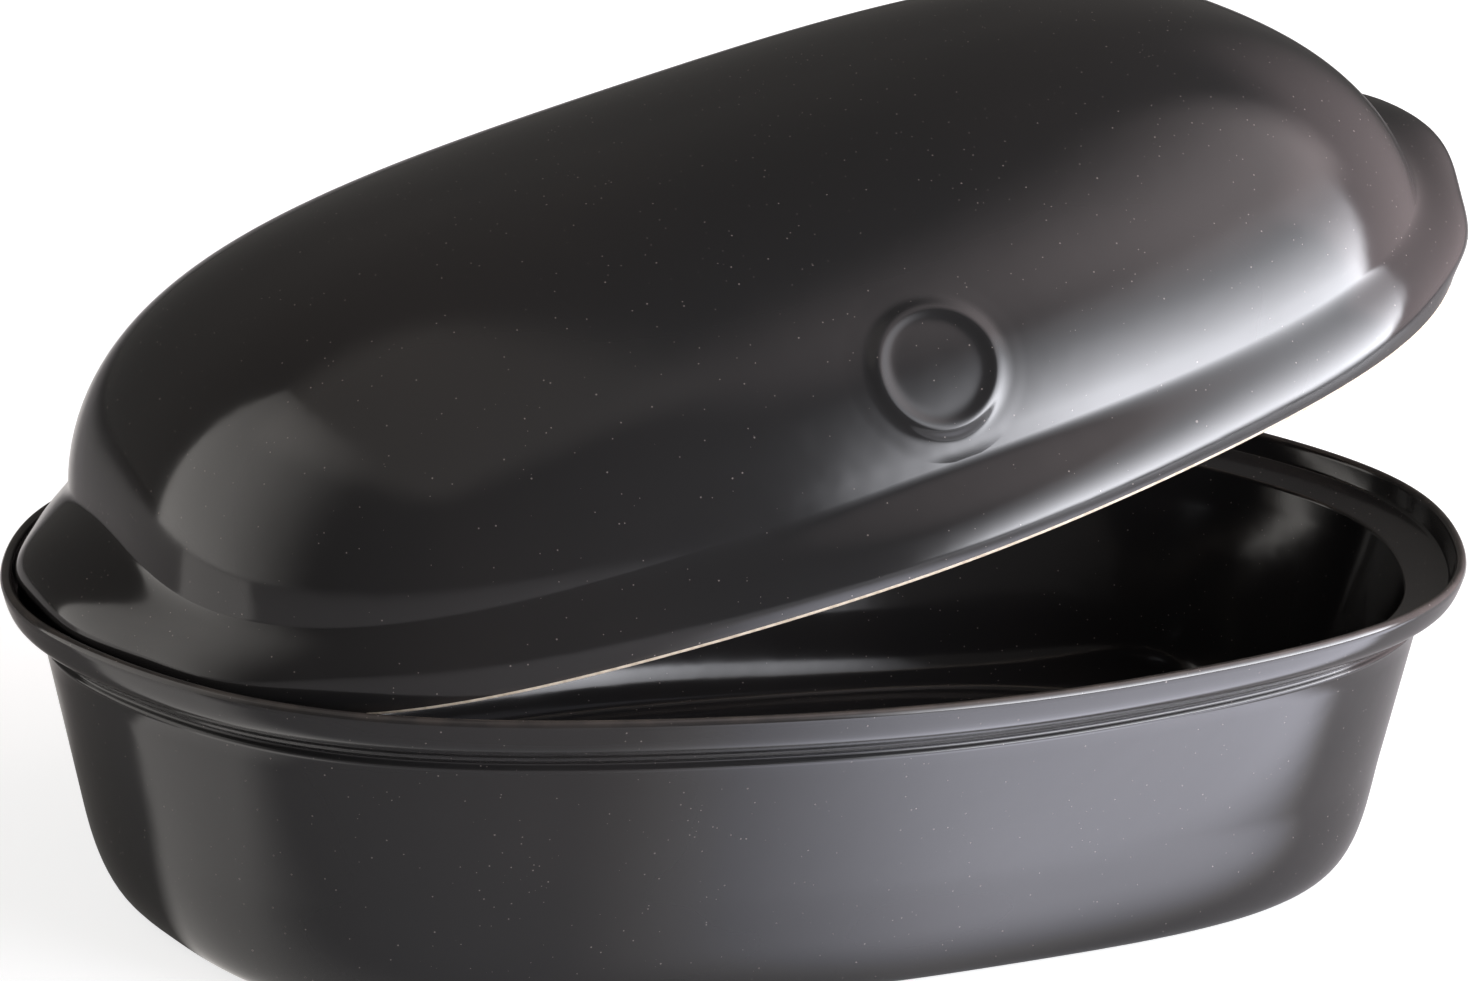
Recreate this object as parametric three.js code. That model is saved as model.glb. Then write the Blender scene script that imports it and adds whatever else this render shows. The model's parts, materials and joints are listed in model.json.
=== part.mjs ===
// Ceramic bread baker: an oval dish and its domed lid, two pieces of glazed stoneware, with the lid tilted open.
// Millimetres. +Z is up, +X runs along the long axis to the raised end of the lid, the origin is under the middle
// of the foot.
import * as THREE from 'three';

// Dish, outside
const LENGTH = 340;
const WIDTH = 223;
const RIM_HEIGHT = 75;
const RIM_FULLNESS = 0.046;
const RIM_SHARPNESS = 4;
const COLLAR_DROP = 10.4;
const COLLAR_FLARE = 6.2;
const GROOVE_DROP = 12.4;
const GROOVE_INSET = 9.9;
const BEAD_DROP = 13.4;
const BEAD_INSET = 8.9;
const SHOULDER_DROP = 14.5;
const SHOULDER_INSET = 9.4;
const WALL_DRAFT_END = 7.8;
const WALL_DRAFT_SIDE = 12.6;
const HEEL_HEIGHT = 27.6;
const HEEL_END = 19;
const HEEL_SIDE = 11.7;
const HEEL_RUN_END = 13;
const HEEL_RUN_SIDE = 8;
const HEEL_TANGENT = 0.36;
const FOOT_FULLNESS = 0.115;
const FOOT_SHARPNESS = 3;
const FOOT_RING = 10;
const FOOT_RECESS = 1.6;

// Dish, rim and inside
const LIP_HEIGHT = 5.6;
const LIP_THICKNESS = 3.4;
const LIP_ROUND = 1.5;
const LEDGE_END = 10.4;
const LEDGE_SIDE = 8.2;
const LEDGE_FALL = 2.2;
const CORNER_ROUND = 0.9;
const DISH_WALL = 6.6;
const DISH_FLOOR = 8.4;

// Lid
const LID_PLAY = 0.7;
const LID_GAP = 0.3;
const LID_HEIGHT = 72.4;
const LID_WALL = 6.4;
const FLANGE_EDGE = 6.4;
const FLANGE_ROUND = 3.2;
const FLANGE_END = 13.4;
const FLANGE_SIDE = 9.4;
const COVE_TOP = 15;
const DOME_BASE = 13;
const DOME_FULLNESS = 0.1;
const DOME_SHARPNESS = 2;
const DOME_END_POWER = 0.46;
const DOME_SIDE_POWER = 0.81;
const DOME_RISE_POWER = 1.03;
const SEAT_INSET = 3;
const SKIRT_DEPTH = 3;
const SKIRT_PLAY = 2;

// The lid's flange turns up into a lug at each end. The seat under it rises clear of the ledge close to the end, and
// its rim rises, flares out over the lip and has four corners.
const SEAT_LIFT = 15.5;
const SEAT_LIFT_POWER = 10;
const LUG_LIFT = 12.5;
const LUG_LIFT_POWER = 8;
const LUG_FLARE = 3.2;
const LUG_FLARE_FULL = 24;
const LUG_FLARE_NONE = 44;
const LUG_CORNER = 0.5;
const LUG_CORNERS_AROUND = 16;
const LUG_COVE_SHARE = 0.8;

// The line that the lid tilts about, measured from its lower end and seat, and how far it stands open.
const TILT_FROM_END = 36.6;
const TILT_HEIGHT = 20.6;
const TILT_OPEN = 15.2;

const AROUND = 96;
const RIGHT_ANGLE = Math.PI / 2;

function mix(from, to, share) {
  return from + (to - from) * share;
}

function angleOf(i) {
  return (2 * Math.PI * i) / AROUND;
}

// How far an oval's diagonals are filled out, and how sharply the filling falls off to its ends and sides.
const RIM = { fullness: RIM_FULLNESS, sharpness: RIM_SHARPNESS };
const FOOT = { fullness: FOOT_FULLNESS, sharpness: FOOT_SHARPNESS };
const DOME = { fullness: DOME_FULLNESS, sharpness: DOME_SHARPNESS };

function ovalPoint(i, a, b, shape, z) {
  const t = angleOf(i);
  const fill = 1 + shape.fullness * Math.abs(Math.sin(2 * t)) ** shape.sharpness;
  return new THREE.Vector3(a * Math.cos(t) * fill, b * Math.sin(t) * fill, z);
}

function ring(a, b, shape, z) {
  return Array.from({ length: AROUND }, (_, i) => ovalPoint(i, a, b, shape, z));
}

// A closed skin through a stack of rings, closed with a fan at the first and the last point.
function skin(first, rings, last) {
  const position = [first, ...rings.flat(), last].flatMap((p) => p.toArray());
  const index = [];
  const at = (row, i) => 1 + row * AROUND + (i % AROUND);
  const end = 1 + rings.length * AROUND;
  for (let i = 0; i < AROUND; i += 1) {
    index.push(0, at(0, i + 1), at(0, i));
    for (let row = 0; row + 1 < rings.length; row += 1) {
      index.push(at(row, i), at(row, i + 1), at(row + 1, i + 1));
      index.push(at(row, i), at(row + 1, i + 1), at(row + 1, i));
    }
    index.push(at(rings.length - 1, i), at(rings.length - 1, i + 1), end);
  }
  const geometry = new THREE.BufferGeometry();
  geometry.setAttribute('position', new THREE.Float32BufferAttribute(position, 3));
  geometry.setIndex(index);
  geometry.computeVertexNormals();
  return geometry;
}

// Half-length, half-width and height of each level of the dish that the rest is measured from.
const rim = { a: LENGTH / 2, b: WIDTH / 2 };
const collar = { a: rim.a - COLLAR_FLARE, b: rim.b - COLLAR_FLARE, z: RIM_HEIGHT - COLLAR_DROP };
const shoulder = { a: rim.a - SHOULDER_INSET, b: rim.b - SHOULDER_INSET, z: RIM_HEIGHT - SHOULDER_DROP };
const heel = { a: shoulder.a - WALL_DRAFT_END, b: shoulder.b - WALL_DRAFT_SIDE, z: HEEL_HEIGHT };
const foot = { a: heel.a - HEEL_END, b: heel.b - HEEL_SIDE };
const ledge = { a: rim.a - LIP_THICKNESS, b: rim.b - LIP_THICKNESS, z: RIM_HEIGHT - LIP_HEIGHT };
const mouth = { a: ledge.a - LEDGE_END, b: ledge.b - LEDGE_SIDE, z: ledge.z - LEDGE_FALL };
const inside = { a: heel.a - DISH_WALL, b: heel.b - DISH_WALL, z: heel.z };

// The ovals are fullest at the foot and ease off to the rim's outline at the shoulder.
function wallRing(a, b, z) {
  const share = Math.min(1, z / shoulder.z);
  const fullness = mix(FOOT.fullness, RIM.fullness, share);
  const sharpness = mix(FOOT.sharpness, RIM.sharpness, share);
  return ring(a, b, { fullness, sharpness }, z);
}

function cubic(from, leave, arrive, to, share) {
  const rest = 1 - share;
  return from * rest ** 3 + 3 * leave * rest ** 2 * share + 3 * arrive * rest * share ** 2 + to * share ** 3;
}

// A ring of the heel's curve, which leaves the foot level and runs into the slope of the wall. The inside has the same
// curve, set in by the wall and raised to the floor.
function heelRing(share, inset, floor) {
  const tangent = HEEL_TANGENT * (heel.z - floor);
  const back = tangent / (shoulder.z - heel.z);
  const footA = foot.a - inset;
  const footB = foot.b - inset;
  const heelA = heel.a - inset;
  const heelB = heel.b - inset;
  const a = cubic(footA, footA + HEEL_RUN_END, heelA - back * WALL_DRAFT_END, heelA, share);
  const b = cubic(footB, footB + HEEL_RUN_SIDE, heelB - back * WALL_DRAFT_SIDE, heelB, share);
  return wallRing(a, b, cubic(floor, floor, heel.z - tangent, heel.z, share));
}

function rimRing(inset, z) {
  return ring(rim.a - inset, rim.b - inset, RIM, z);
}

// Flat foot ring round a shallow recess, the rounded heel and the drafted wall.
function outsideWall() {
  const inner = { a: foot.a - FOOT_RING, b: foot.b - FOOT_RING };
  const rings = [
    wallRing(inner.a - FOOT_RECESS, inner.b - FOOT_RECESS, FOOT_RECESS),
    wallRing(inner.a, inner.b, 0),
    wallRing(foot.a, foot.b, 0),
  ];
  const steps = 8;
  for (let k = 1; k <= steps; k += 1) {
    rings.push(heelRing(k / steps, 0, 0));
  }
  for (const share of [1 / 3, 2 / 3, 1]) {
    const z = mix(heel.z, shoulder.z, share);
    rings.push(wallRing(mix(heel.a, shoulder.a, share), mix(heel.b, shoulder.b, share), z));
  }
  return rings;
}

// Bead and groove under the collar, the flared collar, the rounded crest of the lip and the ledge down to the mouth.
function collarAndLedge() {
  const rings = [
    rimRing(BEAD_INSET, RIM_HEIGHT - BEAD_DROP),
    rimRing(GROOVE_INSET, RIM_HEIGHT - GROOVE_DROP),
    rimRing(mix(GROOVE_INSET, COLLAR_FLARE, 0.6), RIM_HEIGHT - mix(GROOVE_DROP, COLLAR_DROP, 0.5)),
    rimRing(COLLAR_FLARE, collar.z),
    rimRing(COLLAR_FLARE / 2, mix(collar.z, RIM_HEIGHT - LIP_ROUND, 1 / 2)),
  ];
  const steps = 5;
  for (let k = 0; k <= steps; k += 1) {
    const turn = Math.PI * (k / steps);
    const inset = (LIP_THICKNESS - CORNER_ROUND) * (1 - Math.cos(turn)) / 2;
    rings.push(rimRing(inset, RIM_HEIGHT - LIP_ROUND * (1 - Math.sin(turn))));
  }
  rings.push(rimRing(LIP_THICKNESS, ledge.z + CORNER_ROUND));
  rings.push(rimRing(LIP_THICKNESS + CORNER_ROUND, ledge.z));
  rings.push(ring(mouth.a + CORNER_ROUND, mouth.b + CORNER_ROUND, RIM, mouth.z));
  rings.push(ring(mouth.a, mouth.b, RIM, mouth.z - CORNER_ROUND));
  return rings;
}

// Inner wall, its rounded bottom corner and the floor.
function insideWall() {
  const top = mouth.z - CORNER_ROUND;
  const rings = [];
  for (const share of [1 / 2, 1]) {
    const z = mix(top, inside.z, share);
    rings.push(wallRing(mix(mouth.a, inside.a, share), mix(mouth.b, inside.b, share), z));
  }
  const steps = 7;
  for (let k = 1; k <= steps; k += 1) {
    rings.push(heelRing(1 - k / steps, DISH_WALL, DISH_FLOOR));
  }
  return rings;
}

function baseDish() {
  const rings = [...outsideWall(), ...collarAndLedge(), ...insideWall()];
  return skin(new THREE.Vector3(0, 0, FOOT_RECESS), rings, new THREE.Vector3(0, 0, DISH_FLOOR));
}

// The lid is drawn with its seat at z = 0. Its flange fits inside the lip, and its skirt inside the mouth.
const lid = { a: ledge.a - LID_PLAY, b: ledge.b - LID_PLAY, z: ledge.z + LID_GAP };
const dome = { a: lid.a - FLANGE_END, b: lid.b - FLANGE_SIDE };
const skirt = { a: mouth.a - SKIRT_PLAY, b: mouth.b - SKIRT_PLAY };
const cavity = { a: dome.a - LID_WALL, b: dome.b - LID_WALL };

function endRise(i, power) {
  return Math.abs(Math.cos(angleOf(i))) ** power;
}

// A ring of the seat, or of the lower edge of the flange, which rise out of the way of the ledge at the ends.
function seatRing(a, b, z) {
  return ring(a, b, RIM, 0).map((p, i) => p.setZ(z + SEAT_LIFT * endRise(i, SEAT_LIFT_POWER)));
}

// How far the rim stands out at the lugs, from full near the ends to nothing along the sides.
function lugOut(i) {
  const t = angleOf(i);
  const fromEnd = THREE.MathUtils.radToDeg(Math.acos(Math.min(1, Math.abs(Math.cos(t)))));
  const share = 1 - THREE.MathUtils.smoothstep(fromEnd, LUG_FLARE_FULL, LUG_FLARE_NONE);
  return share * (LUG_FLARE - LUG_CORNER * Math.cos(LUG_CORNERS_AROUND * t));
}

function lugRise(i) {
  return LUG_LIFT * endRise(i, LUG_LIFT_POWER);
}

// A ring of the flange's rounded rim, turned up and flared into the lugs.
function rollRing(inset, z) {
  return Array.from({ length: AROUND }, (_, i) => {
    const out = lugOut(i) - inset;
    return ovalPoint(i, lid.a + out, lid.b + out, RIM, z + lugRise(i));
  });
}

// A point of the dome: u runs from 0 at its base to a right angle at its crown.
function domePoint(i, u, inset) {
  const a = (dome.a - inset) * Math.cos(u) ** DOME_END_POWER;
  const b = (dome.b - inset) * Math.cos(u) ** DOME_SIDE_POWER;
  const rise = LID_HEIGHT - inset - DOME_BASE;
  return ovalPoint(i, a, b, DOME, DOME_BASE + rise * Math.sin(u) ** DOME_RISE_POWER);
}

function domeRing(uAt, inset) {
  return Array.from({ length: AROUND }, (_, i) => domePoint(i, uAt(i), inset));
}

// Where the cove runs out into the dome: higher over the lugs than along the sides.
function coveEnd(i) {
  const z = COVE_TOP + LUG_COVE_SHARE * lugRise(i);
  return Math.asin(((z - DOME_BASE) / (LID_HEIGHT - DOME_BASE)) ** (1 / DOME_RISE_POWER));
}

const CROWN = RIGHT_ANGLE * 0.975;

// Hollow of the lid, from under its crown down to the skirt.
function lidInside() {
  const rings = [];
  const steps = 9;
  for (let k = 0; k <= steps; k += 1) {
    const u = CROWN * Math.cos(RIGHT_ANGLE * (k / steps));
    rings.push(domeRing(() => u, LID_WALL));
  }
  return rings;
}

// Skirt that drops into the mouth, the seat and the rounded rim of the flange.
function lidEdge() {
  const rings = [
    ring(cavity.a, cavity.b, RIM, CORNER_ROUND - SKIRT_DEPTH),
    ring(cavity.a + CORNER_ROUND, cavity.b + CORNER_ROUND, RIM, -SKIRT_DEPTH),
    ring(skirt.a - CORNER_ROUND, skirt.b - CORNER_ROUND, RIM, -SKIRT_DEPTH),
    ring(skirt.a, skirt.b, RIM, CORNER_ROUND - SKIRT_DEPTH),
    seatRing(skirt.a, skirt.b, 0),
    seatRing(lid.a - SEAT_INSET, lid.b - SEAT_INSET, 0),
    seatRing(lid.a - CORNER_ROUND, lid.b - CORNER_ROUND, 0),
    seatRing(lid.a, lid.b, CORNER_ROUND),
  ];
  const steps = 4;
  for (let k = 0; k <= steps; k += 1) {
    const turn = RIGHT_ANGLE * (k / steps);
    const inset = FLANGE_ROUND * (1 - Math.cos(turn));
    rings.push(rollRing(inset, FLANGE_EDGE - FLANGE_ROUND * (1 - Math.sin(turn))));
  }
  return rings;
}

// Hollow cove from the flange up to the dome, then the dome up to its crown.
function lidOutside() {
  const rings = [];
  const from = rollRing(FLANGE_ROUND, FLANGE_EDGE);
  const to = domeRing(coveEnd, 0);
  const coveSteps = 5;
  for (let k = 1; k <= coveSteps; k += 1) {
    const turn = RIGHT_ANGLE * (k / coveSteps);
    rings.push(from.map((p, i) => new THREE.Vector3(
      mix(p.x, to[i].x, Math.sin(turn)),
      mix(p.y, to[i].y, Math.sin(turn)),
      mix(p.z, to[i].z, 1 - Math.cos(turn)),
    )));
  }
  const domeSteps = 11;
  for (let k = 1; k <= domeSteps; k += 1) {
    rings.push(domeRing((i) => mix(coveEnd(i), CROWN, Math.sin(RIGHT_ANGLE * (k / domeSteps))), 0));
  }
  return rings;
}

// Seats the lid on the ledge, then lifts its +X end by turning it about the tilt line near its other end.
function tilted() {
  const pivot = new THREE.Vector3(TILT_FROM_END - lid.a, 0, lid.z + TILT_HEIGHT);
  const turn = new THREE.Matrix4().makeRotationY(-THREE.MathUtils.degToRad(TILT_OPEN));
  return new THREE.Matrix4().makeTranslation(pivot.x, pivot.y, pivot.z)
    .multiply(turn)
    .multiply(new THREE.Matrix4().makeTranslation(-pivot.x, -pivot.y, lid.z - pivot.z));
}

function lidDome() {
  const rings = [...lidInside(), ...lidEdge(), ...lidOutside()];
  const under = new THREE.Vector3(0, 0, LID_HEIGHT - LID_WALL);
  return skin(under, rings, new THREE.Vector3(0, 0, LID_HEIGHT)).applyMatrix4(tilted());
}

const glaze = new THREE.MeshStandardMaterial({ name: 'charcoal_glaze', color: 0x2b2b2d, roughness: 0.25 });

function piece(name, geometry) {
  const mesh = new THREE.Mesh(geometry, glaze);
  mesh.name = name;
  return mesh;
}

const baker = new THREE.Group();
baker.name = 'bread_baker';
baker.add(piece('base_dish', baseDish()));
baker.add(piece('lid_dome', lidDome()));

export default baker;
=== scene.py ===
"""Looks of the ceramic bread baker: the glazed dish and its domed lid, tilted open, in soft studio light."""
import json
import math

import bpy
from mathutils import Matrix, Vector


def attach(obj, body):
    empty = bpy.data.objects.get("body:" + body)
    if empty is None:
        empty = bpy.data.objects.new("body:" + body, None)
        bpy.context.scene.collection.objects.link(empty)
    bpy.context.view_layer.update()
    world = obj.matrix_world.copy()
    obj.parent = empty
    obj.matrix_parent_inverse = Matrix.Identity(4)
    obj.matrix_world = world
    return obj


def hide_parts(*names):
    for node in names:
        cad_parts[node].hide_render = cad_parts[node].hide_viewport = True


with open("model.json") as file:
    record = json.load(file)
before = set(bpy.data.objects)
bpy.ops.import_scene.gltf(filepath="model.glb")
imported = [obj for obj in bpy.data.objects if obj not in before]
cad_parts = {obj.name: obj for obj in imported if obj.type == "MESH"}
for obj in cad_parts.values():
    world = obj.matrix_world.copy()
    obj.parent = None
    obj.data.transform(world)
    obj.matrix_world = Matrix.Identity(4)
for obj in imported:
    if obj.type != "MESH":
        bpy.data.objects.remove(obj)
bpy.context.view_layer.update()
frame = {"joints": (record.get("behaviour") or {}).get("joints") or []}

MM = 0.001
RIGHT_ANGLE = math.pi / 2
NUDGE = 1e-4

# Dish, in millimetres
LENGTH = 340
WIDTH = 223
RIM_HEIGHT = 75
COLLAR_DROP = 9.9
COLLAR_FLARE = 6.2
COLLAR_TURN = 1.9
COLLAR_TURN_DROP = 6.6
COVE_SHARE = 0.6
GROOVE_DROP = 12.4
GROOVE_INSET = 9.7
BEAD_DROP = 13.6
BEAD_INSET = 9.0
SHOULDER_DROP = 14.5
SHOULDER_INSET = 9.4
SHOULDER_LEAD_DROP = 1.4
SHOULDER_LEAD_INSET = 0.5
WALL_DRAFT_END = 7.8
WALL_DRAFT_SIDE = 12.6
HEEL_HEIGHT = 27.6
HEEL_END = 19
HEEL_SIDE = 11.7
HEEL_RUN_END = 13
HEEL_RUN_SIDE = 8
HEEL_TANGENT = 0.36
FOOT_RING = 10
FOOT_RECESS = 1.6
LIP_HEIGHT = 5.6
LIP_THICKNESS = 3.4
LIP_ROUND = 1.5
LEDGE_END = 10.4
LEDGE_SIDE = 8.2
LEDGE_FALL = 2.2
CORNER_ROUND = 0.9
DISH_WALL = 6.6
DISH_FLOOR = 8.4

# Lid, in millimetres, with angles from the nearer end in degrees
LID_PLAY = 0.7
LID_GAP = 0.3
LID_HEIGHT = 72.4
LID_WALL = 6.4
FLANGE_FACE = 1.9
FLANGE_END = 13.4
FLANGE_SIDE = 9.4
SWEEP_TOP = 18
SWEEP_LEAVE = 8
SWEEP_ARRIVE = 3.6
SWEEP_NUDGE = 0.001
DOME_BASE = 13
DOME_END_POWER = 0.46
DOME_SIDE_POWER = 0.81
DOME_RISE_POWER = 1.03
SEAT_INSET = 3
SEAT_LIFT = 15.5
SEAT_LIFT_POWER = 10
BARE_SEAT_REACH = 0.8
SKIRT_DEPTH = 3
SKIRT_PLAY = 2
LUG_FACE = 3.2
LUG_FACE_NONE = 60
LUG_LIFT = 12.5
LUG_LIFT_POWER = 8
LUG_FLARE = 3.2
LUG_FLARE_FULL = 24
LUG_FLARE_NONE = 44
LUG_CORNER = 0.5
LUG_CORNERS_AROUND = 16
LUG_COVE_SHARE = 0.8

# How far each oval's diagonals are filled out, and how sharply that falls off to its ends and sides
RIM = (0.046, 4)
FOOT = (0.115, 3)
DOME = (0.1, 2)

# Points round each ring, and rings along each stretch of the two skins
AROUND = 264
HEEL_RINGS = 22
WALL_RINGS = 10
RIM_RINGS = 6
LIP_RINGS = 12
CORNER_RINGS = 4
INNER_WALL_RINGS = 8
INNER_HEEL_RINGS = 18
CAVITY_RINGS = 36
CAVITY_FOOT_RINGS = 6
SKIRT_RINGS = 3
SWEEP_RINGS = 26
DOME_RINGS = 56

# Blank round medallion on the front of the dome, in millimetres, with its place in degrees
MEDALLION_REACH = 19.5
MEDALLION_BLEND = 3
MEDALLION_RIDGE = 12.6
MEDALLION_RIDGE_WIDTH = 1.8
MEDALLION_RISE = 0.6
MEDALLION_FIELD = 0.03
MEDALLION_LIFT = 0.01
MEDALLION_AROUND = -87.7
MEDALLION_UP = 23.9
MEDALLION_SPOKES = 120
MEDALLION_LOOPS = 44
NEWTON_STEPS = 6

# Glaze and clay: colours, how thin the glaze is on two edges, and the scale, range and depth of each texture.
# Specks, partly the glaze's own and partly painted glints, are given by cells to the metre, the share of
# cells that hold one, and its size against a cell.
CHARCOAL = (0.0165, 0.0163, 0.0168, 1)
CHARCOAL_WARM = (0.0215, 0.0198, 0.0196, 1)
THIN_GLAZE = (0.052, 0.044, 0.039, 1)
# Pale specks: partly the glaze's own specks, partly painted glints of light
SPECK_AND_GLINT = (0.19, 0.165, 0.155, 1)
CLAY = (0.72, 0.62, 0.5, 1)
CLAY_DARK = (0.56, 0.46, 0.35, 1)
WHITE = (1, 1, 1, 1)
MOUTH_THIN = 0.6
SEAT_THIN = 0.5
CLOUD_SCALE = 9.0
CLOUD_RAMP = (0.35, 0.7)
PATCH_SCALE = 120.0
PATCH_RAMP = (0.35, 0.65)
PATCH_THIN = (0.35, 1.0)
FINE_SPECKS_AND_GLINTS = (900.0, 0.15, 0.115)
COARSE_SPECKS_AND_GLINTS = (300.0, 0.008, 0.06)
LEAST_SPECK = 0.5
ROUGH_SCALE = 40.0
ROUGH_RAMP = (0.3, 0.7)
GLAZE_ROUGHNESS = (0.09, 0.14)
GLAZE_IOR = 1.53
RIPPLE_SCALE = 70.0
RIPPLE_DETAIL = 2.0
RIPPLE_STRENGTH = 0.12
RIPPLE_DEPTH = 0.0006
GRAIN_SCALE = 600.0
GRAIN_DETAIL = 6.0
GRAIN_RAMP = (0.4, 0.7)
GRAIN_STRENGTH = 0.3
GRAIN_DEPTH = 0.0004
CLAY_ROUGHNESS = 0.85

# Floor, in metres: its white, and the strength, colour and soft edges of each pool of window light on it
FLOOR_SIZE = 12
FLOOR_COLOUR = (0.5, 0.5, 0.5, 1)
FLOOR_ROUGHNESS = 0.9
FLOOR_WHITE_REACH = (0.3, 0.9)
FLOOR_WHITE = (0.75, 1.0)
RIGHT_POOL = 3.4
RIGHT_POOL_COLOUR = (0.86, 0.87, 1.0, 1)
RIGHT_POOL_X = (-0.08, 0.05)
RIGHT_POOL_Y = (-0.079, -0.101)
RIGHT_POOL_REACH = (0.7, 0.3)
LEFT_POOL = 0.8
LEFT_POOL_COLOUR = (1.0, 0.96, 0.92, 1)
LEFT_POOL_SLANT = 0.6
LEFT_POOL_EDGE = (-0.1, -0.11)
LEFT_POOL_Y = (-0.085, -0.045)
LEFT_POOL_REACH = (1.3, 0.9)
BACK_POOL = 0.4
BACK_POOL_X = (-0.2, -0.1)
BACK_POOL_Y = (0.08, 0.13)
BACK_POOL_REACH = (0.9, 0.4)

# Surroundings, and the point that the light panels stand round
WORLD_COLOUR = (1.0, 0.95, 0.9, 1)
WORLD_STRENGTH = 0.1
PANEL_AIM = (0, 0, 0.08)
SHARP_EDGE = 0.001

# Camera: direction, distance and aim in the row frame
CAMERA_AZIMUTH = -24.73
CAMERA_ELEVATION = 17.19
CAMERA_DISTANCE = 1.13257
CAMERA_AIM = (-0.00502, 0, 0.08694)
CAMERA_ROLL = 2.97
CAMERA_LENS = 124.8
CAMERA_SENSOR = 36


def mix(start, end, share):
    return start + (end - start) * share


def ease(share):
    """From 0 to 1 with a level start and end."""
    share = min(1, max(0, share))
    return share * share * (3 - 2 * share)


def cubic(start, leave, arrive, end, share):
    rest = 1 - share
    near_start = start * rest ** 3 + 3 * leave * rest ** 2 * share
    return near_start + 3 * arrive * rest * share ** 2 + end * share ** 3


def steps(count):
    return [k / count for k in range(1, count + 1)]


def quarter(count):
    """The turns of a rounded corner, from 0 to a right angle."""
    return [RIGHT_ANGLE * share for share in [0, *steps(count)]]


def angle_of(i):
    return 2 * math.pi * i / AROUND


def around(point):
    """A ring of the points that a function of the angle gives."""
    return [point(angle_of(i)) for i in range(AROUND)]


def oval_point(t, a, b, shape, z):
    fill = 1 + shape[0] * abs(math.sin(2 * t)) ** shape[1]
    return Vector((a * math.cos(t) * fill, b * math.sin(t) * fill, z))


class Level:
    """Half-length, half-width and height of a level that the rest is measured from."""

    def __init__(self, a, b, z=0):
        self.a, self.b, self.z = a, b, z

    def inset(self, end, side, z=0):
        return Level(self.a - end, self.b - side, z)


rim = Level(LENGTH / 2, WIDTH / 2, RIM_HEIGHT)
shoulder = rim.inset(SHOULDER_INSET, SHOULDER_INSET, RIM_HEIGHT - SHOULDER_DROP)
heel = shoulder.inset(WALL_DRAFT_END, WALL_DRAFT_SIDE, HEEL_HEIGHT)
foot = heel.inset(HEEL_END, HEEL_SIDE)
ledge = rim.inset(LIP_THICKNESS, LIP_THICKNESS, RIM_HEIGHT - LIP_HEIGHT)
mouth = ledge.inset(LEDGE_END, LEDGE_SIDE, ledge.z - LEDGE_FALL)
inside = heel.inset(DISH_WALL, DISH_WALL, heel.z)
lid = ledge.inset(LID_PLAY, LID_PLAY, ledge.z + LID_GAP)
dome = lid.inset(FLANGE_END, FLANGE_SIDE, DOME_BASE)
skirt = mouth.inset(SKIRT_PLAY, SKIRT_PLAY)
cavity = dome.inset(LID_WALL, LID_WALL)


def add_object(name, data):
    thing = bpy.data.objects.new(name, data)
    bpy.context.scene.collection.objects.link(thing)
    return thing


class Shell:
    """A closed skin through a stack of rings. Each ring says what covers the strip after it, all round or by
    angle, and how thin the glaze is there."""

    def __init__(self):
        self.rings = []
        self.finish = []
        self.thin = []

    def add(self, points, finish="glaze", thin=0.0):
        self.rings.append(points)
        self.finish.append(finish)
        self.thin.append(thin)

    def oval(self, a, b, shape, z, finish="glaze", thin=0.0):
        self.add(around(lambda t: oval_point(t, a, b, shape, z)), finish, thin)

    def build(self, name, first, last, place, materials):
        points = [first, *[p for ring in self.rings for p in ring], last]
        count = len(self.rings)
        end = 1 + count * AROUND
        faces, finishes = [], []
        names = list(materials)

        def at(row, i):
            return 1 + row * AROUND + i % AROUND

        for i in range(AROUND):
            faces.append((0, at(0, i + 1), at(0, i)))
            finishes.append(0)
            for row in range(count - 1):
                faces.append((at(row, i), at(row, i + 1), at(row + 1, i + 1), at(row + 1, i)))
                finish = self.finish[row]
                finishes.append(names.index(finish(angle_of(i)) if callable(finish) else finish))
            faces.append((at(count - 1, i), at(count - 1, i + 1), end))
            finishes.append(0)
        mesh = bpy.data.meshes.new(name)
        mesh.from_pydata([place @ (p * MM) for p in points], [], faces)
        for material in materials.values():
            mesh.materials.append(material)
        mesh.polygons.foreach_set("material_index", finishes)
        mesh.polygons.foreach_set("use_smooth", [True] * len(faces))
        thin = mesh.attributes.new("thin_glaze", "FLOAT", "POINT")
        thin.data.foreach_set("value", [0.0, *[v for v in self.thin for _ in range(AROUND)], 0.0])
        mesh.update()
        return add_object(name, mesh)


# Dish

def wall_oval(shell, a, b, z, **looks):
    """The ovals are fullest at the foot and ease off to the rim's outline at the shoulder."""
    share = min(1, z / shoulder.z)
    shape = (mix(FOOT[0], RIM[0], share), mix(FOOT[1], RIM[1], share))
    shell.oval(a, b, shape, z, **looks)


def heel_oval(shell, share, inset, floor):
    """The heel's curve leaves the foot level and runs into the slope of the wall. The inside has the same
    curve, set in by the wall and raised to the floor."""
    tangent = HEEL_TANGENT * (heel.z - floor)
    back = tangent / (shoulder.z - heel.z)
    low, high = foot.inset(inset, inset), heel.inset(inset, inset)
    a = cubic(low.a, low.a + HEEL_RUN_END, high.a - back * WALL_DRAFT_END, high.a, share)
    b = cubic(low.b, low.b + HEEL_RUN_SIDE, high.b - back * WALL_DRAFT_SIDE, high.b, share)
    wall_oval(shell, a, b, cubic(floor, floor, heel.z - tangent, heel.z, share))


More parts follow.
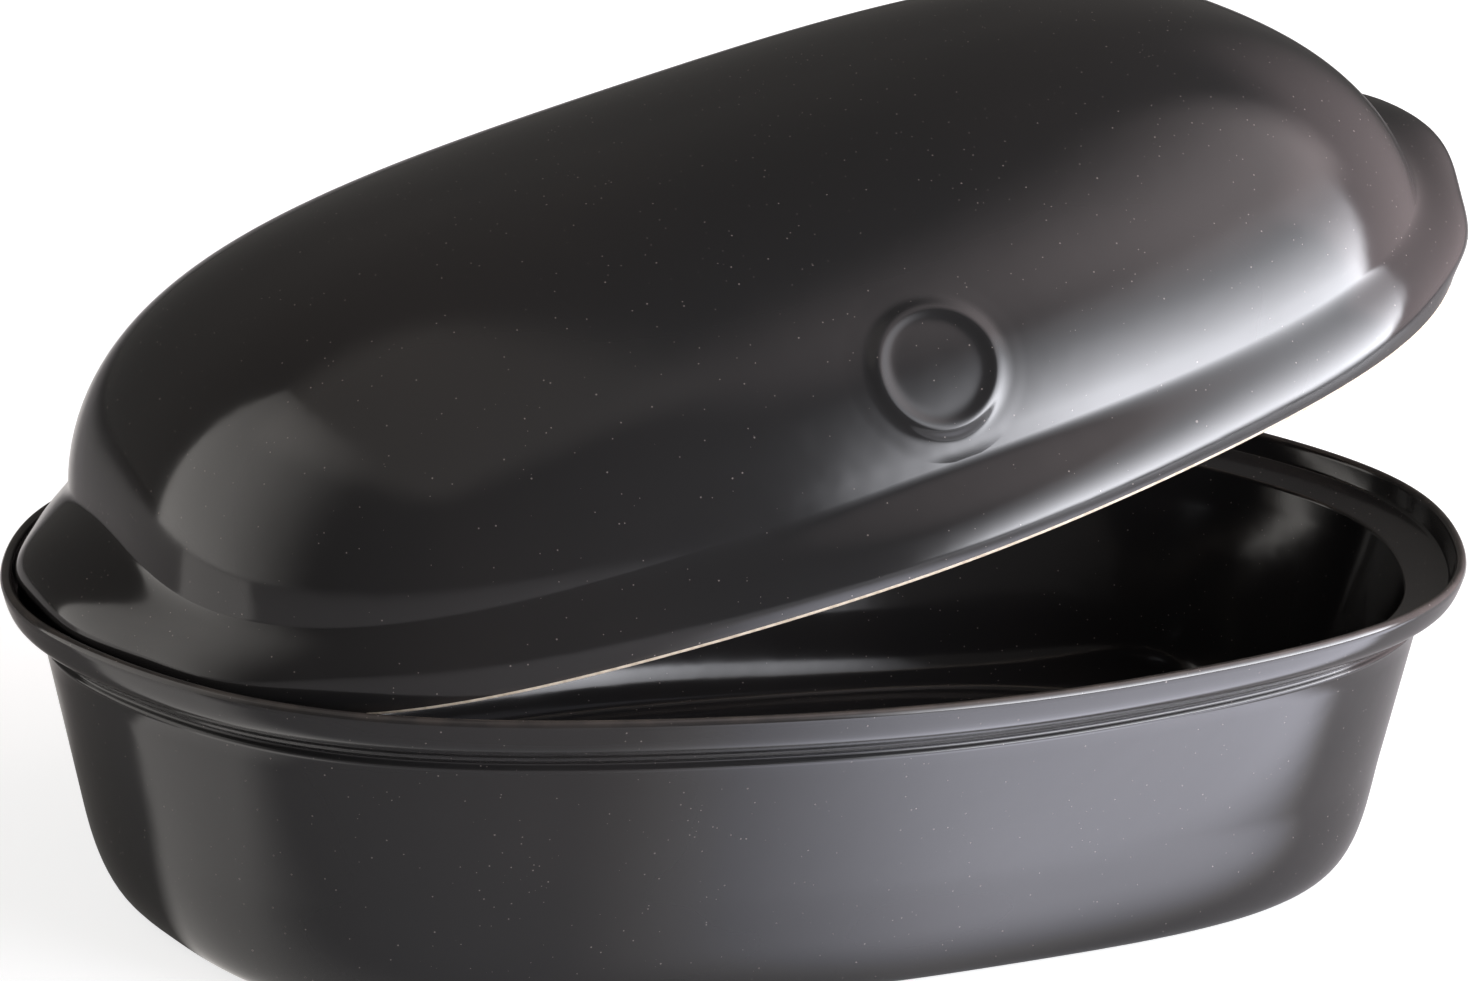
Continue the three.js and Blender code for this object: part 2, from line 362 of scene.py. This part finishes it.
def dish_outside(shell):
    inner = foot.inset(FOOT_RING, FOOT_RING)
    wall_oval(shell, inner.a - FOOT_RECESS, inner.b - FOOT_RECESS, FOOT_RECESS)
    wall_oval(shell, inner.a, inner.b, 0, finish="clay")
    wall_oval(shell, foot.a, foot.b, 0)
    for share in steps(HEEL_RINGS):
        heel_oval(shell, share, 0, 0)
    for share in steps(WALL_RINGS):
        a, b = mix(heel.a, shoulder.a, share), mix(heel.b, shoulder.b, share)
        wall_oval(shell, a, b, mix(heel.z, shoulder.z, share))


def spline(points, per_span):
    """A smooth curve through the points after the first and before the last, which only steer it."""
    curve = []
    for p, q, r, s in zip(points, points[1:], points[2:], points[3:]):
        for share in steps(per_span):
            point = tuple(
                0.5 * (2 * b + (c - a) * share + (2 * a - 5 * b + 4 * c - d) * share ** 2
                       + (3 * b - a - 3 * c + d) * share ** 3)
                for a, b, c, d in zip(p, q, r, s))
            curve.append(point)
    return curve


def dish_rim(shell):
    """Bead, groove and the fuller collar over them, then the rounded lip, and the ledge down to the mouth."""
    cove = (mix(GROOVE_INSET, COLLAR_FLARE, COVE_SHARE), (GROOVE_DROP + COLLAR_DROP) / 2)
    profile = spline([
        (SHOULDER_INSET + SHOULDER_LEAD_INSET, SHOULDER_DROP + SHOULDER_LEAD_DROP),
        (SHOULDER_INSET, SHOULDER_DROP),
        (BEAD_INSET, BEAD_DROP),
        (GROOVE_INSET, GROOVE_DROP),
        cove,
        (COLLAR_FLARE, COLLAR_DROP),
        (COLLAR_TURN, COLLAR_TURN_DROP),
        (0, LIP_ROUND),
        (0, 0),
    ], RIM_RINGS)
    for inset, drop in profile[:-1]:
        shell.oval(rim.a - inset, rim.b - inset, RIM, RIM_HEIGHT - drop)
    for share in [0, *steps(LIP_RINGS)]:
        turn = math.pi * share
        inset = (LIP_THICKNESS - CORNER_ROUND) * (1 - math.cos(turn)) / 2
        z = RIM_HEIGHT - LIP_ROUND * (1 - math.sin(turn))
        shell.oval(rim.a - inset, rim.b - inset, RIM, z, thin=math.sin(turn))
    for turn in quarter(CORNER_RINGS):
        inset = LIP_THICKNESS + CORNER_ROUND * (1 - math.cos(turn))
        z = ledge.z + CORNER_ROUND * (1 - math.sin(turn))
        shell.oval(rim.a - inset, rim.b - inset, RIM, z)
    for turn in quarter(CORNER_RINGS):
        out = CORNER_ROUND * (1 - math.sin(turn))
        z = mouth.z - CORNER_ROUND * (1 - math.cos(turn))
        shell.oval(mouth.a + out, mouth.b + out, RIM, z, thin=MOUTH_THIN * math.sin(2 * turn))


def dish_inside(shell):
    top = mouth.z - CORNER_ROUND
    for share in steps(INNER_WALL_RINGS):
        a, b = mix(mouth.a, inside.a, share), mix(mouth.b, inside.b, share)
        wall_oval(shell, a, b, mix(top, inside.z, share))
    for share in steps(INNER_HEEL_RINGS):
        heel_oval(shell, 1 - share, DISH_WALL, DISH_FLOOR)


def make_dish(materials):
    shell = Shell()
    dish_outside(shell)
    dish_rim(shell)
    dish_inside(shell)
    under, floor = Vector((0, 0, FOOT_RECESS)), Vector((0, 0, DISH_FLOOR))
    dish = shell.build("dish", under, floor, Matrix.Identity(4), materials)
    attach(dish, "dish")
    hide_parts("base_dish")


# Lid, drawn with its seat at z = 0

def end_rise(t, power):
    return abs(math.cos(t)) ** power


def seat_ring(a, b, z=0.0):
    """A ring of the seat, or of the lower edge of the flange, which rise clear of the ledge at the ends."""
    return around(lambda t: oval_point(t, a, b, RIM, z + SEAT_LIFT * end_rise(t, SEAT_LIFT_POWER)))


def lug_rise(t):
    return LUG_LIFT * end_rise(t, LUG_LIFT_POWER)


def near_end(t, none, full):
    """Eases from 0 to 1 as the angle from the nearer end of the lid falls from none to full degrees."""
    from_end = math.degrees(math.acos(min(1, abs(math.cos(t)))))
    return ease((none - from_end) / (none - full))


def lug_out(t):
    """How far the rim stands out at the lugs, from full near the ends to nothing along the sides."""
    share = near_end(t, LUG_FLARE_NONE, LUG_FLARE_FULL)
    return share * (LUG_FLARE - LUG_CORNER * math.cos(LUG_CORNERS_AROUND * t))


def flange_point(t):
    """A point of the flange's outermost ring, which is turned up and flared into the lugs."""
    out = lug_out(t)
    face = mix(FLANGE_FACE, LUG_FACE, near_end(t, LUG_FACE_NONE, LUG_FLARE_NONE))
    return oval_point(t, lid.a + out, lid.b + out, RIM, face + lug_rise(t))


def dome_point(t, u, inset=0):
    """A point of the dome: u runs from 0 at its base to a right angle at its crown."""
    a = (dome.a - inset) * max(0, math.cos(u)) ** DOME_END_POWER
    b = (dome.b - inset) * max(0, math.cos(u)) ** DOME_SIDE_POWER
    rise = LID_HEIGHT - inset - DOME_BASE
    return oval_point(t, a, b, DOME, DOME_BASE + rise * math.sin(u) ** DOME_RISE_POWER)


def sweep_end(t):
    """Where the sweep runs out into the dome: higher over the lugs than along the sides."""
    z = SWEEP_TOP + LUG_COVE_SHARE * lug_rise(t)
    return math.asin(((z - DOME_BASE) / (LID_HEIGHT - DOME_BASE)) ** (1 / DOME_RISE_POWER))


def sweep_point(t, share):
    """The flange's face rises from its outermost ring, leans in, and runs in a hollow curve into the dome."""
    u = sweep_end(t)
    start, end = flange_point(t), dome_point(t, u)
    up = (dome_point(t, u + SWEEP_NUDGE) - end).normalized()
    return cubic(start, start + Vector((0, 0, SWEEP_LEAVE)), end - up * SWEEP_ARRIVE, end, share)


def towards_crown(share):
    """Spaces the dome's rings evenly although it flattens out towards its crown."""
    return 1 - (1 - share) ** 2


def lid_inside(shell):
    """From just under the crown down the cavity, and straight down to the skirt."""
    for share in steps(CAVITY_RINGS)[1:]:
        u = RIGHT_ANGLE * towards_crown(1 - share)
        shell.add(around(lambda t: dome_point(t, u, LID_WALL)))
    for share in steps(CAVITY_FOOT_RINGS):
        z = mix(DOME_BASE, CORNER_ROUND - SKIRT_DEPTH, share)
        shape = (mix(DOME[0], RIM[0], share), mix(DOME[1], RIM[1], share))
        shell.oval(cavity.a, cavity.b, shape, z)


def bare_on_seat(t):
    """The seat is bare clay where it rests on the ledge, and glazed under the lugs."""
    return "clay" if abs(math.cos(t)) < BARE_SEAT_REACH else "glaze"


def lid_edge(shell):
    """The bare lower edge of the skirt, its glazed outer wall, the seat and the corner under the flange."""
    for turn in quarter(SKIRT_RINGS):
        out = CORNER_ROUND * (1 - math.cos(turn))
        z = CORNER_ROUND * (1 - math.sin(turn)) - SKIRT_DEPTH
        shell.oval(cavity.a + out, cavity.b + out, RIM, z, finish="clay")
    for turn in quarter(SKIRT_RINGS):
        inset = CORNER_ROUND * (1 - math.sin(turn))
        z = CORNER_ROUND * (1 - math.cos(turn)) - SKIRT_DEPTH
        finish = "clay" if turn < RIGHT_ANGLE else "glaze"
        shell.oval(skirt.a - inset, skirt.b - inset, RIM, z, finish)
    shell.add(seat_ring(skirt.a, skirt.b), bare_on_seat)
    shell.add(seat_ring(lid.a - SEAT_INSET, lid.b - SEAT_INSET), bare_on_seat)
    for turn in quarter(CORNER_RINGS):
        inset = CORNER_ROUND * (1 - math.sin(turn))
        ring = seat_ring(lid.a - inset, lid.b - inset, CORNER_ROUND * (1 - math.cos(turn)))
        finish = bare_on_seat if turn < RIGHT_ANGLE else "glaze"
        shell.add(ring, finish, SEAT_THIN)
    shell.add(around(flange_point))


def lid_outside(shell):
    for share in steps(SWEEP_RINGS):
        shell.add(around(lambda t: sweep_point(t, share)))
    for share in steps(DOME_RINGS)[:-1]:
        up = towards_crown(share)
        shell.add(around(lambda t: dome_point(t, mix(sweep_end(t), RIGHT_ANGLE, up))))


def make_lid(materials, place):
    shell = Shell()
    lid_inside(shell)
    lid_edge(shell)
    lid_outside(shell)
    under, crown = Vector((0, 0, LID_HEIGHT - LID_WALL)), Vector((0, 0, LID_HEIGHT))
    piece = shell.build("lid", under, crown, place, materials)
    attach(piece, "lid")
    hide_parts("lid_dome")


def dome_frame(t, u):
    """A point of the dome with its outward normal and two tangents."""
    point = dome_point(t, u)
    along = (dome_point(t + NUDGE, u) - point).normalized()
    up = dome_point(t, u + NUDGE) - point
    up = (up - along * up.dot(along)).normalized()
    return point, along.cross(up).normalized(), along, up


def on_dome(centre, along, up, t, u, p, q):
    """The dome's parameters at an offset of p along and q up from a centre, by Newton steps."""
    for _ in range(NEWTON_STEPS):
        here = dome_point(t, u)
        miss = here - centre
        want_p, want_q = p - miss.dot(along), q - miss.dot(up)
        dt = (dome_point(t + NUDGE, u) - here) / NUDGE
        du = (dome_point(t, u + NUDGE) - here) / NUDGE
        a, b, c, d = dt.dot(along), du.dot(along), dt.dot(up), du.dot(up)
        scale = a * d - b * c
        t += (d * want_p - b * want_q) / scale
        u += (a * want_q - c * want_p) / scale
    return t, u


def medallion_rise(r):
    """Height of the medallion over the dome: a soft ridge round a field almost level with the dome."""
    ridge = math.exp(-((r - MEDALLION_RIDGE) / MEDALLION_RIDGE_WIDTH) ** 2)
    return (MEDALLION_RISE * ridge + MEDALLION_FIELD) * ease((MEDALLION_REACH - r) / MEDALLION_BLEND)


def make_medallion(glaze, place):
    t0, u0 = math.radians(MEDALLION_AROUND), math.radians(MEDALLION_UP)
    centre, normal, along, up = dome_frame(t0, u0)
    spokes, loops = MEDALLION_SPOKES, MEDALLION_LOOPS
    points = [centre + normal * medallion_rise(0)]
    for k in range(1, loops + 1):
        r = MEDALLION_REACH * k / loops
        for i in range(spokes):
            turn = 2 * math.pi * i / spokes
            t, u = on_dome(centre, along, up, t0, u0, r * math.cos(turn), r * math.sin(turn))
            point, outward, _, _ = dome_frame(t, u)
            points.append(point + outward * (medallion_rise(r) + MEDALLION_LIFT))
    faces = [(0, 1 + i, 1 + (i + 1) % spokes) for i in range(spokes)]
    for k in range(loops - 1):
        row, next_row = 1 + k * spokes, 1 + (k + 1) * spokes
        for i in range(spokes):
            j = (i + 1) % spokes
            faces.append((row + i, next_row + i, next_row + j, row + j))
    mesh = bpy.data.meshes.new("lid_medallion")
    mesh.from_pydata([place @ (p * MM) for p in points], [], faces)
    mesh.materials.append(glaze)
    mesh.polygons.foreach_set("use_smooth", [True] * len(faces))
    piece = add_object("lid_medallion", mesh)
    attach(piece, "lid")


# Materials

class Nodes:
    """Short calls for the node tree of a material, a light or the world."""

    def __init__(self, owner):
        owner.use_nodes = True
        self.tree = owner.node_tree
        self.tree.nodes.clear()

    def put(self, socket, value):
        if isinstance(value, bpy.types.NodeSocket):
            self.tree.links.new(value, socket)
        else:
            socket.default_value = value

    def add(self, kind, inputs=None, **settings):
        node = self.tree.nodes.new(kind)
        for key, value in settings.items():
            setattr(node, key, value)
        for key, value in (inputs or {}).items():
            self.put(node.inputs[key], value)
        return node

    def math(self, operation, *values):
        return self.add("ShaderNodeMath", dict(enumerate(values)), operation=operation).outputs[0]

    def product(self, first, *rest):
        for value in rest:
            first = self.math("MULTIPLY", first, value)
        return first

    def smooth(self, value, low, high, out_low=0.0, out_high=1.0):
        inputs = {"Value": value, "From Min": low, "From Max": high, "To Min": out_low, "To Max": out_high}
        node = self.add("ShaderNodeMapRange", inputs, interpolation_type="SMOOTHSTEP")
        return node.outputs["Result"]

    def mix(self, share, a, b):
        return self.add("ShaderNodeMix", {0: share, 6: a, 7: b}, data_type="RGBA").outputs[2]

    def noise(self, place, scale, detail=3.0):
        node = self.add("ShaderNodeTexNoise", {"Vector": place, "Scale": scale, "Detail": detail})
        return node.outputs["Fac"]

    def bump(self, height, strength, distance):
        inputs = {"Height": height, "Strength": strength, "Distance": distance}
        return self.add("ShaderNodeBump", inputs).outputs["Normal"]

    def specks(self, place, scale, share, size):
        """Round specks: in the given share of cells, of about the given size against a cell."""
        cell = self.add("ShaderNodeTexVoronoi", {"Vector": place, "Scale": scale})
        pick = self.add("ShaderNodeSeparateColor", {"Color": cell.outputs["Color"]})
        chosen = self.math("LESS_THAN", pick.outputs["Red"], share)
        reach = self.math("MULTIPLY_ADD", pick.outputs["Green"], size, size * LEAST_SPECK)
        inside = self.math("LESS_THAN", cell.outputs["Distance"], reach)
        return self.math("MULTIPLY", chosen, inside)

    def surface(self, shader):
        self.add("ShaderNodeOutputMaterial", {"Surface": shader.outputs["BSDF"]})


def glaze_material(name):
    """Glossy charcoal glaze: soft shifts of tone, pale specks that are partly painted glints, brown where it
    is thin, a faint ripple.
    """
    material = bpy.data.materials.new(name)
    nodes = Nodes(material)
    place = nodes.add("ShaderNodeTexCoord").outputs["Object"]
    cloud = nodes.smooth(nodes.noise(place, CLOUD_SCALE), *CLOUD_RAMP)
    colour = nodes.mix(cloud, CHARCOAL, CHARCOAL_WARM)
    thin = nodes.add("ShaderNodeAttribute", attribute_name="thin_glaze").outputs["Fac"]
    patchy = nodes.smooth(nodes.noise(place, PATCH_SCALE), *PATCH_RAMP, *PATCH_THIN)
    colour = nodes.mix(nodes.math("MULTIPLY", thin, patchy), colour, THIN_GLAZE)
    fine = nodes.specks(place, *FINE_SPECKS_AND_GLINTS)
    coarse = nodes.specks(place, *COARSE_SPECKS_AND_GLINTS)
    # The pale specks are partly the glaze's own and partly painted glints
    colour = nodes.mix(nodes.math("MAXIMUM", fine, coarse), colour, SPECK_AND_GLINT)
    rough = nodes.smooth(nodes.noise(place, ROUGH_SCALE), *ROUGH_RAMP, *GLAZE_ROUGHNESS)
    ripple = nodes.bump(nodes.noise(place, RIPPLE_SCALE, RIPPLE_DETAIL), RIPPLE_STRENGTH, RIPPLE_DEPTH)
    shader = nodes.add("ShaderNodeBsdfPrincipled", {
        "Base Color": colour, "Roughness": rough, "Normal": ripple})
    shader.inputs["IOR"].default_value = GLAZE_IOR
    nodes.surface(shader)
    return material


def clay_material():
    """Bare fired clay, cream with darker flecks."""
    material = bpy.data.materials.new("bare_clay")
    nodes = Nodes(material)
    place = nodes.add("ShaderNodeTexCoord").outputs["Object"]
    grain = nodes.noise(place, GRAIN_SCALE, GRAIN_DETAIL)
    colour = nodes.mix(nodes.smooth(grain, *GRAIN_RAMP), CLAY, CLAY_DARK)
    rubbed = nodes.bump(grain, GRAIN_STRENGTH, GRAIN_DEPTH)
    shader = nodes.add("ShaderNodeBsdfPrincipled", {"Base Color": colour, "Normal": rubbed})
    shader.inputs["Roughness"].default_value = CLAY_ROUGHNESS
    nodes.surface(shader)
    return material


# Stage, light and camera

def floor_material():
    """Pale, and white to the camera. Only the glaze mirrors the pools of window light, at the front right and
    the left end of the dish, and a faint one behind it."""
    material = bpy.data.materials.new("floor")
    nodes = Nodes(material)
    path = nodes.add("ShaderNodeLightPath")
    seen, mirrored = path.outputs["Is Camera Ray"], path.outputs["Is Glossy Ray"]
    place = nodes.add("ShaderNodeNewGeometry").outputs["Position"]
    axes = nodes.add("ShaderNodeSeparateXYZ", {"Vector": place})
    x, y = axes.outputs["X"], axes.outputs["Y"]
    far = nodes.add("ShaderNodeVectorMath", {0: place}, operation="LENGTH").outputs["Value"]
    right = nodes.product(
        nodes.smooth(x, *RIGHT_POOL_X), nodes.smooth(far, *RIGHT_POOL_REACH),
        nodes.smooth(y, *RIGHT_POOL_Y), RIGHT_POOL)
    slant = nodes.math("MULTIPLY_ADD", x, LEFT_POOL_SLANT, y)
    left = nodes.product(
        nodes.smooth(slant, *LEFT_POOL_EDGE), nodes.smooth(y, *LEFT_POOL_Y),
        nodes.smooth(far, *LEFT_POOL_REACH), LEFT_POOL)
    back = nodes.product(
        nodes.smooth(x, *BACK_POOL_X), nodes.smooth(far, *BACK_POOL_REACH),
        nodes.smooth(y, *BACK_POOL_Y), BACK_POOL)
    pools = nodes.math("ADD", nodes.math("ADD", left, right), back)
    pools = nodes.math("MULTIPLY", pools, mirrored)
    white = nodes.math("MULTIPLY", seen, nodes.smooth(far, *FLOOR_WHITE_REACH, *FLOOR_WHITE))
    tint = nodes.mix(nodes.math("MINIMUM", right, 1.0), LEFT_POOL_COLOUR, RIGHT_POOL_COLOUR)
    shader = nodes.add("ShaderNodeBsdfPrincipled", {
        "Emission Color": nodes.mix(seen, tint, WHITE),
        "Emission Strength": nodes.math("ADD", white, pools)})
    shader.inputs["Base Color"].default_value = FLOOR_COLOUR
    shader.inputs["Roughness"].default_value = FLOOR_ROUGHNESS
    nodes.surface(shader)
    material.cycles.emission_sampling = "NONE"
    return material


def make_floor():
    half = FLOOR_SIZE / 2
    corners = [(-half, -half, 0), (half, -half, 0), (half, half, 0), (-half, half, 0)]
    mesh = bpy.data.meshes.new("floor")
    mesh.from_pydata(corners, [], [(0, 1, 2, 3)])
    mesh.materials.append(floor_material())
    floor = add_object("floor", mesh)


def make_world():
    """Dim and even all round, white to the camera."""
    world = bpy.data.worlds.new("studio")
    bpy.context.scene.world = world
    nodes = Nodes(world)
    seen = nodes.add("ShaderNodeLightPath").outputs["Is Camera Ray"]
    background = nodes.add("ShaderNodeBackground", {
        "Color": nodes.mix(seen, WORLD_COLOUR, WHITE),
        "Strength": nodes.smooth(seen, 0.0, 1.0, WORLD_STRENGTH, 1.0)})
    nodes.add("ShaderNodeOutputWorld", {"Surface": background.outputs[0]})


def direction(azimuth, elevation):
    """Azimuth 0 is the front, -Y, and +90 is +X."""
    a, e = math.radians(azimuth), math.radians(elevation)
    return Vector((math.sin(a) * math.cos(e), -math.cos(a) * math.cos(e), math.sin(e)))


def make_panel(name, azimuth, elevation, distance, size, radiance, colour, fade, fall, upright=False):
    """A soft box facing the baker, or an upright one turned to it. fade is the share of its size over which
    each edge fades, left, right, bottom and top, and fall is the power of its fall from bottom to top."""
    width, height = size
    light = bpy.data.lights.new(name, "AREA")
    light.shape = "RECTANGLE"
    light.size = width
    light.size_y = height
    light.color = colour
    light.energy = radiance * width * height * math.pi
    away = direction(azimuth, elevation)
    facing = direction(azimuth, 0) if upright else away
    turn = facing.to_track_quat("Z", "Y").to_matrix().to_4x4()
    panel = add_object(name, light)
    panel.matrix_world = Matrix.Translation(Vector(PANEL_AIM) + away * distance) @ turn
    nodes = Nodes(light)
    spot = nodes.add("ShaderNodeNewGeometry").outputs["Parametric"]
    axes = nodes.add("ShaderNodeSeparateXYZ", {"Vector": spot})
    across, up = axes.outputs["X"], axes.outputs["Y"]
    left, right, bottom, top = (max(share, SHARP_EDGE) for share in fade)
    strength = nodes.product(
        nodes.smooth(across, 0.0, left), nodes.smooth(across, 1.0, 1.0 - right),
        nodes.smooth(up, 0.0, bottom), nodes.smooth(up, 1.0, 1.0 - top),
        nodes.math("POWER", nodes.math("SUBTRACT", 1.0, up), fall))
    glow = nodes.add("ShaderNodeEmission", {"Strength": strength})
    nodes.add("ShaderNodeOutputLight", {"Surface": glow.outputs[0]})


def make_lights():
    make_panel("key", azimuth=45, elevation=25, distance=1.4, size=(1.96, 1.45), radiance=24.0,
               colour=(0.93, 0.94, 1.0), fade=(0.3, 0.1, 0.12, 0.2), fall=2.0)
    make_panel("above", azimuth=55, elevation=60, distance=1.5, size=(2.2, 1.7), radiance=2.1,
               colour=(1.0, 0.87, 0.88), fade=(0.5, 0.2, 0.3, 0.6), fall=0.2)
    make_panel("fill", azimuth=-80, elevation=62, distance=1.5, size=(2.2, 1.4), radiance=0.3,
               colour=(1.0, 0.92, 0.85), fade=(0.2, 0.2, 0.2, 0.2), fall=0.1)
    make_panel("window", azimuth=-98, elevation=31, distance=1.4, size=(1.62, 1.6), radiance=1.8,
               colour=(1.0, 0.96, 0.92), fade=(0.0, 0.66, 0.0, 0.0), fall=0.4, upright=True)
    make_panel("warm_side", azimuth=103, elevation=27, distance=1.5, size=(2.1, 1.65), radiance=1.5,
               colour=(1.0, 0.8, 0.82), fade=(0.1, 0.7, 0.0, 0.3), fall=0.3)


def make_camera():
    azimuth, roll = math.radians(CAMERA_AZIMUTH), math.radians(CAMERA_ROLL)
    back = direction(CAMERA_AZIMUTH, CAMERA_ELEVATION)
    right = Vector((math.cos(azimuth), math.sin(azimuth), 0))
    up = back.cross(right)
    turned_right = right * math.cos(roll) + up * math.sin(roll)
    turned_up = up * math.cos(roll) - right * math.sin(roll)
    data = bpy.data.cameras.new("camera")
    data.sensor_fit = "HORIZONTAL"
    data.sensor_width = CAMERA_SENSOR
    data.lens = CAMERA_LENS
    camera = add_object("camera", data)
    basis = Matrix((turned_right, turned_up, back)).transposed().to_4x4()
    camera.matrix_world = Matrix.Translation(Vector(CAMERA_AIM) + back * CAMERA_DISTANCE) @ basis
    bpy.context.scene.camera = camera


def lid_place():
    """From the lid's own frame to the row frame: seated on the ledge, then tilted open about its joint."""
    joint = frame["joints"][0]
    pivot = Vector(joint["pos_m"])
    open_by = -math.radians(joint["range_deg"][0])
    turn = Matrix.Rotation(open_by, 4, Vector(joint["axis"]))
    seat = Matrix.Translation(Vector((0, 0, lid.z * MM)) - pivot)
    return Matrix.Translation(pivot) @ turn @ seat


def main():
    bpy.context.scene.view_settings.view_transform = "Standard"
    clay = clay_material()
    dish_glaze = glaze_material("dish_glaze")
    lid_glaze = glaze_material("lid_glaze")
    place = lid_place()
    make_dish({"glaze": dish_glaze, "clay": clay})
    make_lid({"glaze": lid_glaze, "clay": clay}, place)
    make_medallion(lid_glaze, place)
    make_floor()
    make_world()
    make_lights()
    make_camera()


main()
